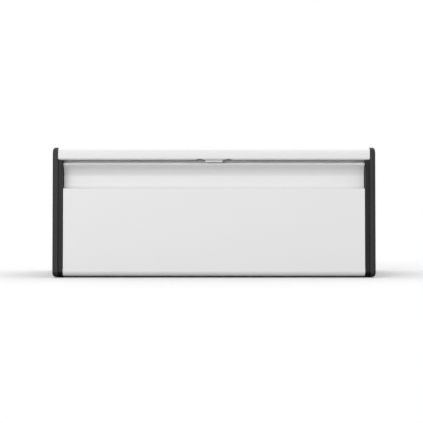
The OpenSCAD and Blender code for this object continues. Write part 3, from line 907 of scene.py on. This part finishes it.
bpy.ops.mesh.extrude_region_move(
    TRANSFORM_OT_translate={"value": (0, 0, holder_low.z - BRIDGE_Z)})
bpy.ops.transform.resize(value=(NOSE_HALF / NOSE_ROOT, 1, 1))
bpy.ops.mesh.inset(thickness=1.7 * MM, use_even_offset=True)
bpy.ops.mesh.extrude_region_move(
    TRANSFORM_OT_translate={"value": (0, 0, MAGNET_HEIGHT + 0.25 * MM)})
leave_edit()
for side in (-1, 1):
    peg = add_rod("peg", (side * (SLOT_HALF + 2.5 * MM), HOLDER_Y + HOLDER_DEPTH / 2, LIP_Z),
                  (0, 0, 1), 1.5 * MM, 2 * MM, sides=32)
    carve(holder, peg, operation="UNION")
soften(holder, 0.3 * MM)
dress(holder, holder_plastic, "cabinet", "magnet_holder")

# %% [markdown]
# The magnet is a sintered ferrite bar. Such bars are ground flat and tumbled, so their edges are
# chipped round, and a shallow flat runs along the pole face.

# %% Model the magnet
magnet_low, magnet_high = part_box("catch_magnet")
magnet = add_block("ferrite_bar", magnet_low, magnet_high)
work_on(magnet)
pick(magnet, "FACE", lambda f: f.normal.z < -0.9)
bpy.ops.mesh.inset(thickness=0.8 * MM, use_even_offset=True)
bpy.ops.transform.translate(value=(0, 0, 0.1 * MM))
leave_edit()
soften(magnet, 0.45 * MM, segments=3)
dress(magnet, ferrite, "cabinet", "catch_magnet")

# %% [markdown]
# ## Rubber feet and buffers
#
# A foot is a stadium-shaped pad with a stud that plugs into the frame. The pad starts as a block
# whose upright edges are bevelled by half its width, and its tread is bevelled by a little.
# One foot is modelled and copied to the other three places.

# %% Model the feet
foot_low, foot_high = foot_boxes[0]
FOOT_WIDTH = 9 * MM
FOOT_TOP = tray_low.z
foot = add_block("front_right_pad", foot_low, (foot_low.x + FOOT_WIDTH, foot_high.y, FOOT_TOP))
work_on(foot)
pick(foot, "EDGE", lambda e: near(e.verts[0].co.x, e.verts[1].co.x)
     and near(e.verts[0].co.y, e.verts[1].co.y))
bpy.ops.mesh.bevel(offset=FOOT_WIDTH / 2 - 0.01 * MM, segments=10, affect="EDGES")
pick(foot, "FACE", lambda f: f.normal.z < -0.9)
bpy.ops.mesh.region_to_loop()
bpy.ops.mesh.bevel(offset=0.7 * MM, segments=3, affect="EDGES")
leave_edit()
stud_y = (foot_low.y + foot_high.y) / 2
stud = add_rod("stud", (FRAME_X + 2.7 * MM, stud_y, FOOT_TOP - MM), (0, 0, 1), 1.9 * MM,
               foot_high.z - FOOT_TOP + MM)
carve(foot, stud, operation="UNION")
soften(foot, 0.25 * MM)
rear_shift = foot_boxes[1][0].y - foot_low.y
rear_foot = placed_copy(foot, "rear_right_pad", location=(0, rear_shift, 0))
for pad, node in ((foot, "front_right_foot"), (rear_foot, "rear_right_foot")):
    dress(pad, rubber, "cabinet", node)
    twin = node.replace("right", "left")
    dress(mirrored(pad, twin + "_pad"), rubber, "cabinet", twin)

# %% [markdown]
# A buffer is a button of the same rubber. Its stem is pushed into the stop lug and its face meets
# the liner when the door closes. The rod's rear face is inset and pushed back for the stem.

# %% Model the buffers
BUFFER_X = FRAME_X - 4.5 * MM
buffer = add_rod("right_buffer_button", (BUFFER_X, STOP_FRONT, STOP_Z), (0, 1, 0), 3.6 * MM,
                 BUFFER_STAND)
work_on(buffer)
pick(buffer, "FACE", lambda f: f.normal.y > 0.9)
bpy.ops.mesh.inset(thickness=1.8 * MM)
bpy.ops.mesh.extrude_region_move(TRANSFORM_OT_translate={"value": (0, 5 * MM, 0)})
pick(buffer, "FACE", lambda f: f.normal.y < -0.9)
bpy.ops.mesh.region_to_loop()
bpy.ops.mesh.bevel(offset=0.8 * MM, segments=4, affect="EDGES")
leave_edit()
soften(lean_back(buffer), 0.15 * MM)
dress(buffer, rubber, "cabinet", "right_door_buffer")
dress(mirrored(buffer, "left_buffer_button"), rubber, "cabinet", "left_door_buffer")

# %% [markdown]
# ## Screws
#
# All screws are pan heads with a cross recess for sheet metal and plastic. A screw is modelled
# upright at the origin, head down. The shank grows from the head in half turns that widen and
# narrow, which looks like a thread without the cost of a real helix. The cross is cut out of the
# domed head, and copies are turned into place.

# %% Model a screw
THREAD_PITCH = 1.2 * MM
THREAD_ROOT = 1.15 * MM
THREAD_CREST = 1.45 * MM


def model_screw(shank):
    """A pan head screw along +Z with its head below the origin."""
    screw = add_rod("screw", (0, 0, -HEAD_HEIGHT), (0, 0, 1), HEAD_RADIUS, HEAD_HEIGHT, sides=32)
    work_on(screw)
    pick(screw, "FACE", lambda f: f.normal.z < -0.9)
    bpy.ops.mesh.region_to_loop()
    bpy.ops.mesh.bevel(offset=1.3 * MM, segments=5, affect="EDGES")
    pick(screw, "FACE", lambda f: f.normal.z > 0.9)
    bpy.ops.mesh.inset(thickness=HEAD_RADIUS - THREAD_ROOT)
    swell = THREAD_CREST / THREAD_ROOT
    for turn in range(round(shank / THREAD_PITCH)):
        for scale in (swell, 1 / swell):
            bpy.ops.mesh.extrude_region_move(
                TRANSFORM_OT_translate={"value": (0, 0, THREAD_PITCH / 2)})
            bpy.ops.transform.resize(value=(scale, scale, 1))
    leave_edit()
    for long, short in ((1.8, 0.35), (0.35, 1.8)):
        corner = Vector((long * MM, short * MM, HEAD_HEIGHT))
        carve(screw, add_block("cross", -corner - Vector((0, 0, 0.9 * MM)),
                               (corner.x, corner.y, -0.7 * MM)))
    bpy.ops.object.shade_smooth_by_angle(angle=math.radians(35))
    return screw


def place_screws(screw, name, places, rotation):
    """Copies a screw to each place, turned the same way, and makes the copies one piece."""
    copies = [placed_copy(screw, name, location=place, rotation=rotation) for place in places]
    bpy.data.objects.remove(screw)
    return join(copies, name)


# %% [markdown]
# The cover screws pass through the frames into the covers, the base screws hold the tray's side
# flanges to the frames, and the liner screws close the door's back. Each group is made on the
# right and mirrored.

# %% Place the screws
ALONG_X = (0, math.radians(90), 0)
TOWARD_FRONT = (math.radians(90), 0, 0)
cover_head_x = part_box("right_cover_screws")[0].x + HEAD_HEIGHT
cover_screws = place_screws(model_screw(10.4 * MM), "right_cover_fixings",
                            [(cover_head_x, y, z) for y, z in cover_screw_places], ALONG_X)
dress(cover_screws, zinc, "cabinet", "right_cover_screws")
dress(mirrored(cover_screws, "left_cover_fixings"), zinc, "cabinet", "left_cover_screws")

base_screws = place_screws(model_screw(4.8 * MM), "tray_fixings",
                           [(tray_high.x - SHEET, y, BASE_SCREW_Z) for y in base_screw_ys],
                           ALONG_X)
base_screws = join([base_screws, mirrored(base_screws, "tray_fixings_left")], "tray_fixings")
dress(base_screws, zinc, "cabinet", "base_screws")

LINER_SCREW_X = DOOR_X - 7 * MM
liner_screw_zs = [14 * MM, LEDGE / 2 + 2 * MM, LEDGE - 10 * MM]
liner_screws = place_screws(model_screw(6.5 * MM), "liner_fixings",
                            [(LINER_SCREW_X, LINER_BACK, z) for z in liner_screw_zs],
                            TOWARD_FRONT)
lean_back(liner_screws)
liner_screws = join([liner_screws, mirrored(liner_screws, "liner_fixings_left")],
                    "liner_fixings")
dress(liner_screws, zinc, "door", "door_liner_screws")

# %% [markdown]
# ## Rivets
#
# Four rivets join the shell's bottom flange to the tray. A rivet is one solid of revolution: a
# domed head, a shank and a second head, grown from a short rod by inset and extrude.

# %% Model the rivets
rivet_low, rivet_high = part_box("rear_rivets")
RIVET_HEAD = 0.9 * MM
RIVET_RADIUS = 3.2 * MM
rivet_y = (rivet_low.y + rivet_high.y) / 2
rivet = add_rod("rivet", (0, 0, rivet_low.z), (0, 0, 1), RIVET_RADIUS, RIVET_HEAD, sides=32)
work_on(rivet)
pick(rivet, "FACE", lambda f: f.normal.z > 0.9)
bpy.ops.mesh.inset(thickness=1.6 * MM)
shank_length = rivet_high.z - rivet_low.z - 2 * RIVET_HEAD
bpy.ops.mesh.extrude_region_move(TRANSFORM_OT_translate={"value": (0, 0, shank_length)})
bpy.ops.mesh.extrude_region_move(TRANSFORM_OT_translate={"value": (0, 0, 0)})
bpy.ops.transform.resize(value=(2, 2, 1))
bpy.ops.mesh.extrude_region_move(TRANSFORM_OT_translate={"value": (0, 0, RIVET_HEAD)})
pick(rivet, "EDGE", lambda e: all(
    (near(v.co.z, rivet_low.z) or near(v.co.z, rivet_high.z))
    and near(math.hypot(v.co.x, v.co.y), RIVET_RADIUS) for v in e.verts))
bpy.ops.mesh.bevel(offset=0.75 * MM, segments=4, affect="EDGES")
leave_edit()
bpy.ops.object.shade_smooth_by_angle(angle=math.radians(35))
outermost = rivet_high.x - RIVET_RADIUS
rivets = [placed_copy(rivet, "rivet_copy", location=(share * outermost, rivet_y, 0))
          for share in (-1, -1 / 3, 1 / 3, 1)]
bpy.data.objects.remove(rivet)
dress(join(rivets, "flange_rivets"), zinc, "cabinet", "rear_rivets")

# %% [markdown]
# ## The hinge
#
# A nylon bush with a thin flange sits in each frame, and a steel pin runs from inside the door's
# end piece through the bush to a head behind the cover. The bush is a rod whose outer face is
# inset and pushed out to a sleeve, then bored. The pin's head is its end face, widened.

# %% Model the bushes and pins
bush_low, bush_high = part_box("right_hinge_bush")
pin_low, pin_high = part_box("right_hinge_pin")
bush = add_rod("right_bush_sleeve", (bush_low.x, HINGE.y, HINGE.z), RIGHT, HINGE_BOSS,
               FRAME_X - bush_low.x)
work_on(bush)
pick(bush, "FACE", lambda f: f.normal.x > 0.9)
bpy.ops.mesh.inset(thickness=HINGE_BOSS - BUSH_RADIUS)
bpy.ops.mesh.extrude_region_move(TRANSFORM_OT_translate={"value": (bush_high.x - FRAME_X, 0, 0)})
leave_edit()
carve(bush, add_rod("bore", (bush_low.x - MM, HINGE.y, HINGE.z), RIGHT, 2.05 * MM, 12 * MM))
soften(bush, 0.12 * MM)
dress(bush, bush_plastic, "cabinet", "right_hinge_bush")
dress(mirrored(bush, "left_bush_sleeve"), bush_plastic, "cabinet", "left_hinge_bush")

PIN_RADIUS = 2 * MM
PIN_HEAD = 1.5 * MM
pin = add_rod("right_pin", (pin_low.x, HINGE.y, HINGE.z), RIGHT, PIN_RADIUS,
              pin_high.x - PIN_HEAD - pin_low.x)
work_on(pin)
pick(pin, "FACE", lambda f: f.normal.x > 0.9)
bpy.ops.mesh.extrude_region_move(TRANSFORM_OT_translate={"value": (0, 0, 0)})
bpy.ops.transform.resize(value=(1, 1.6, 1.6))
bpy.ops.mesh.extrude_region_move(TRANSFORM_OT_translate={"value": (PIN_HEAD, 0, 0)})
leave_edit()
soften(pin, 0.3 * MM)
dress(pin, zinc, "door", "right_hinge_pin")
dress(mirrored(pin, "left_pin"), zinc, "door", "left_hinge_pin")

# %% [markdown]
# ## The door's liner and ends
#
# The liner is a flat steel sheet with a pressed field, which stiffens it. A plane is stood up
# behind the door, its border is kept by one inset, and a second inset moved forward makes the
# sloping step of the pressing.

# %% Press the liner
LINER_LOW = -4.5 * MM
LINER_HIGH = DOOR_TOP - TIGHT_BEND - 0.05 * MM
bpy.ops.object.select_all(action="DESELECT")
bpy.ops.mesh.primitive_plane_add(size=1, rotation=(math.radians(90), 0, 0),
                                 location=(0, LINER_BACK, (LINER_LOW + LINER_HIGH) / 2))
liner = bpy.context.object
liner.name = "pressed_liner"
liner.scale = (2 * (DOOR_X - 0.4 * MM), LINER_HIGH - LINER_LOW, 1)
bpy.ops.object.transform_apply(location=True, rotation=True, scale=True)
work_on(liner)
bpy.ops.mesh.select_all(action="SELECT")
bpy.ops.mesh.inset(thickness=16 * MM, use_even_offset=True)
bpy.ops.mesh.inset(thickness=2 * MM, use_even_offset=True)
bpy.ops.transform.translate(value=(0, -0.4 * MM, 0))
leave_edit()
lean_back(liner)
thicken(liner, outward=(0, 1, 0))
soften(liner, 0.2 * MM)
dress(liner, liner_coat, "door", "door_liner")

# %% [markdown]
# The door's end pieces are hidden inside the fold, behind the channel's sheet, and hold the hinge
# pins. They are moulded in light acetal, which is stiff and wears well around a pin. Their CAD
# shape is right as it is, so they only take that finish.

# %% Finish the end pieces
for node in ("left_door_end", "right_door_end"):
    for slot in frame["nodes"][node].material_slots:
        slot.material = holder_plastic
print("CAD nodes kept as they are: left_door_end, right_door_end")
